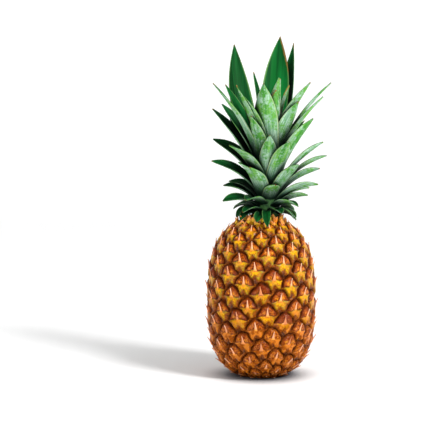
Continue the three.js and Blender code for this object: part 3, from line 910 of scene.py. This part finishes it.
leaf_draws = draws_from(LEAF_SEED)
leaves = []
for i in range(LOWEST_LEAF, TOP_LEAF + 1):
    share = (i - LOWEST_LEAF) / (TOP_LEAF - LOWEST_LEAF)
    turn, reach, height, width, bow = SET_LEAVES.get(i) or growth_rule(i)
    root_radius = LEAF_ROOT_RADII[0] + (LEAF_ROOT_RADII[1] - LEAF_ROOT_RADII[0]) * share
    root_climb = (LEAF_ROOT_TOP - LEAF_ROOT_RISE) * share**LEAF_ROOT_POWER
    azimuth = FIRST_LEAF_AZIMUTH - GOLDEN_ANGLE * i + turn
    rolled = LEAF_ROLL * math.sin(math.radians(azimuth)) ** 2
    made = blade(
        root=(root_radius, CROWN_BOTTOM + LEAF_ROOT_RISE + root_climb),
        tip=(reach, height),
        azimuth=azimuth,
        width=width,
        bow=bow,
        sway=-LEAF_SWAY + 2 * LEAF_SWAY * next(leaf_draws),
        roll=rolled - LEAF_TWIST + 2 * LEAF_TWIST * next(leaf_draws),
        thickness=LEAF_THICKNESS,
        stations=26,
        columns=8,
        wave=LEAF_WAVE,
    )
    made[0][:, 0] += CROWN_X
    leaves.append((made, share, draw.random()))
crown_leaves = joined_blades("crown_leaves", leaves)
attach(crown_leaves, "root")
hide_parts("crown")

# Painted shade in the pit of the crown: full near the stem, none beyond the wider radius, less
# above the heart.
HEART_HEIGHT = 250
PIT_RADII = (26, 6)


def leaf_material():
    """Crown leaf, waxy and fibrous: deep green inside, and outside a pale grey bloom that is
    rubbed off in fresh green patches, with lengthwise ribs, pale rims and a dry brown point."""
    material, tree, place = new_material("pineapple leaf")
    across, along, t = mark(tree, "blade")
    outer, level, drawn = mark(tree, "grown")

    # Ribs 0.9 mm apart and streaks 3 mm wide run along each leaf, and each leaf has its own.
    # Patches of rubbed bloom are 10 and 2.6 mm wide.
    stretched = add(tree, "Math", {0: along, 1: 0.04}, operation="MULTIPLY")
    own = add(tree, "Math", {0: drawn, 1: 90.0}, operation="MULTIPLY")
    lengthwise = add(tree, "CombineXYZ", {0: across, 1: stretched, 2: own})
    rib = {"Vector": lengthwise, "Scale": 1 / 0.9, "Detail": 3, "Roughness": 0.6}
    ribs = add(tree, "TexNoise", rib)
    streak = {"Vector": lengthwise, "Scale": 1 / 3, "Detail": 2, "Roughness": 0.55}
    streaks = add(tree, "TexNoise", streak)
    patch = {"Vector": place, "Detail": 3, "Roughness": 0.55}
    patches = add(tree, "TexNoise", {**patch, "Scale": 1 / (10 * MM)})
    small = add(tree, "TexNoise", {**patch, "Scale": 1 / (2.6 * MM)})

    # The inner face. In the tall leaves of the heart one half of it is painted a brighter green,
    # as lit on that side of the fold
    tall = add(tree, "MapRange", {0: level, 1: 0.84, 2: 0.9}, **SMOOTH)
    inside = paint(tree, "012A0C", "0A5420", streaks, 0.3, 0.7)
    heart = paint(tree, "003A14", "045A20", streaks, 0.3, 0.7)
    below_tip = add(tree, "MapRange", {0: t, 1: 0.9, 2: 0.55}, **SMOOTH)
    # Painted light: one half of each tall leaf brighter, as lit on that side of its fold.
    heart = paint(tree, heart, "0A7A32", across, 1.5, -2.5, below_tip)
    inside = add(tree, "Mix", {0: tall, 6: inside, 7: heart}, out=2, data_type="RGBA")
    inside = paint(tree, inside, "5E8A4A", outer, -0.84, -0.96)

    # The outer face: the bloom is rubbed off more towards the tip, and less at the rim
    bloom = paint(tree, "608A6E", "A2C2A8", ribs, 0.35, 0.65)
    fresh = paint(tree, "347E2C", "68A244", streaks, 0.3, 0.7)
    rubbed = add(tree, "Math", {0: small, 1: 0.8, 2: patches}, operation="MULTIPLY_ADD")
    towards_tip = add(tree, "MapRange", {0: t, 1: 0.3, 2: 0.8, 4: 0.14}, **SMOOTH)
    rubbed = add(tree, "Math", {0: rubbed, 1: towards_tip}, operation="ADD")
    off_rim = add(tree, "MapRange", {0: outer, 1: 1.85, 2: 1.4, 4: 0.06}, **SMOOTH)
    rubbed = add(tree, "Math", {0: rubbed, 1: off_rim}, operation="ADD")
    outside = paint(tree, bloom, fresh, rubbed, 0.9, 1.2)
    # Painted shade: the outer face darkens towards its foot, hidden behind the leaves in front.
    outside = paint(tree, outside, "34614A", t, 0.55, 0.15)
    outside = paint(tree, outside, "0C2A16", t, 0.35, 0.1)
    outside = paint(tree, outside, "93A878", outer, 1.88, 1.98)
    base = paint(tree, inside, outside, outer, 0.4, 0.6)

    # Painted shade: leaves are darkest near the stem, down between the others, and less so above
    # the heart. The occlusion paints the shade where light doesn't reach between two leaves.
    off_stem = {0: place, 1: (CROWN_X * MM, 0, 0)}
    off_stem = add(tree, "VectorMath", off_stem, operation="SUBTRACT")
    level_only = add(tree, "VectorMath", {0: off_stem, 1: (1, 1, 0)}, operation="MULTIPLY")
    off_stem = add(tree, "VectorMath", {0: level_only}, out="Value", operation="LENGTH")
    height = add(tree, "SeparateXYZ", {0: place}, out=2)
    above = add(tree, "Math", {0: height, 1: HEART_HEIGHT * MM}, operation="SUBTRACT")
    above = add(tree, "Math", {0: above, 1: 0.0}, operation="MAXIMUM")
    opened = add(tree, "Math", {0: above, 1: 0.3, 2: off_stem}, operation="MULTIPLY_ADD")
    base = paint(tree, base, "05180A", opened, PIT_RADII[0] * MM, PIT_RADII[1] * MM)
    open_sky = add(tree, "AmbientOcclusion", {"Distance": 34 * MM}, out="AO", samples=8)
    base = paint(tree, base, "03120A", open_sky, 0.9, 0.24)

    # The points have dried brown, and the tall leaves are scorched down one edge
    tip_start = add(tree, "Math", {0: small, 1: 0.06, 2: t}, operation="MULTIPLY_ADD")
    tip_start = add(tree, "Math", {0: drawn, 1: 0.02, 2: tip_start}, operation="MULTIPLY_ADD")
    base = paint(tree, base, "6A4A1C", tip_start, 1.02, 1.045)
    edge = add(tree, "Math", {0: across, 1: -0.018, 2: t}, operation="MULTIPLY_ADD")
    edge = add(tree, "Math", {0: small, 1: 0.05, 2: edge}, operation="MULTIPLY_ADD")
    base = paint(tree, base, "8A6A34", edge, 1.0, 1.03, tall)
    rough = add(tree, "MapRange", {0: outer, 3: 0.55, 4: 0.6})
    finish_material(tree, base, rough, ribs, 0.25, 0.07)
    return material


crown_leaves.data.materials.append(leaf_material())

# The crown's stem
# A short green cone of firm flesh in the middle of the crown, which the leaves clasp. It stands
# just clear of the neck, as the crown is twisted off there.
STEM_RADIUS = 13
STEM_TOP_RADIUS = 6
STEM_SIDES = 32
STEM_PROFILE = [
    (STEM_RADIUS, CROWN_BOTTOM),
    (STEM_TOP_RADIUS, CROWN_BOTTOM + STEM_HEIGHT),
]

crown_stem = turned_piece("crown_stem", STEM_PROFILE, STEM_SIDES, CROWN_X)
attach(crown_stem, "root")


def stem_material():
    """Green stem flesh, only seen as a dark depth between the leaves, in blotches 4 mm wide."""
    material, tree, place = new_material("crown stem")
    spotty = {"Vector": place, "Scale": 1 / (4 * MM), "Detail": 3, "Roughness": 0.55}
    blotch = add(tree, "TexNoise", spotty)
    base = paint(tree, "0C2A10", "24481C", blotch, 0.35, 0.65)
    finish_material(tree, base, 0.7, blotch, 0.3, 0.2)
    return material


crown_stem.data.materials.append(stem_material())

# The studio
# The fruit stands on white paper that bends up into a round wall all round it. A large soft
# lamp lights it from the front right and above, and a weaker one fills from the left.
COVE_FLOOR = 2000
COVE_BEND = 800
COVE_BEND_STEPS = 13
COVE_TOP = 3500
COVE_SIDES = 96
PAPER_GLOW = 0.22
LAMP_AIM = (0, 0, 180)
ROOM_LIGHT = 0.16

bends = np.linspace(0, np.pi / 2, COVE_BEND_STEPS)
cove_line = [(COVE_FLOOR + COVE_BEND * math.sin(b), COVE_BEND * (1 - math.cos(b))) for b in bends]
cove_line += [(COVE_FLOOR + COVE_BEND, COVE_TOP)]
cove_turns = np.linspace(0, 2 * np.pi, COVE_SIDES, endpoint=False)
cove_points = [(r * math.sin(a), r * math.cos(a), z) for r, z in cove_line for a in cove_turns]
cove_faces = [tuple(range(COVE_SIDES))]
for k in range(len(cove_line) - 1):
    for j in range(COVE_SIDES):
        low = k * COVE_SIDES + j
        low_next = k * COVE_SIDES + (j + 1) % COVE_SIDES
        cove_faces.append((low, low_next, low_next + COVE_SIDES, low + COVE_SIDES))
cove = make_piece("paper_cove", np.array(cove_points), cove_faces)


def paper_material():
    """White studio paper, matt and even. It glows a little away from the fruit, as if lit by
    lamps of its own, and has a painted contact shadow: it is greyer where the fruit hides the
    room from it."""
    material, tree, place = new_material("white studio paper")
    open_sky = add(tree, "AmbientOcclusion", {"Distance": 45 * MM}, out="AO", samples=8)
    # Painted contact shadow: greyer where little of the room is open to the paper.
    base = paint(tree, "F4F4F4", "5C5A5E", open_sky, 0.8, 0.15)
    away = add(tree, "VectorMath", {0: place}, out="Value", operation="LENGTH")
    painted_glow = add(tree, "MapRange", {0: away, 1: 0.08, 2: 0.5, 4: PAPER_GLOW}, **SMOOTH)
    sockets = {"Base Color": base, "Roughness": 0.9, "Specular IOR Level": 0.0}
    sockets["Emission Color"] = "FFFFFF"
    sockets["Emission Strength"] = painted_glow
    surface = add(tree, "BsdfPrincipled", sockets)
    add(tree, "OutputMaterial", {"Surface": surface})
    return material


cove.data.materials.append(paper_material())


def soft_lamp(name, place, size, power):
    """A square white lamp, aimed at the fruit's middle. Place and size are in millimetres."""
    data = bpy.data.lights.new(name, "AREA")
    data.energy = power
    data.size = size * MM
    lamp = bpy.data.objects.new(name, data)
    bpy.context.scene.collection.objects.link(lamp)
    lamp.location = Vector(place) * MM
    aim = Vector(LAMP_AIM) * MM - lamp.location
    lamp.rotation_euler = aim.to_track_quat("-Z", "Y").to_euler()


soft_lamp("key", (1100, -1000, 1300), 450, 39)
soft_lamp("fill", (-1300, -1300, 700), 1000, 9)

world = bpy.data.worlds.new("white room")
bpy.context.scene.world = world
world.use_nodes = True
room = world.node_tree.nodes["Background"]
room.inputs["Color"].default_value = colour("FFFFFF")
room.inputs["Strength"].default_value = ROOM_LIGHT
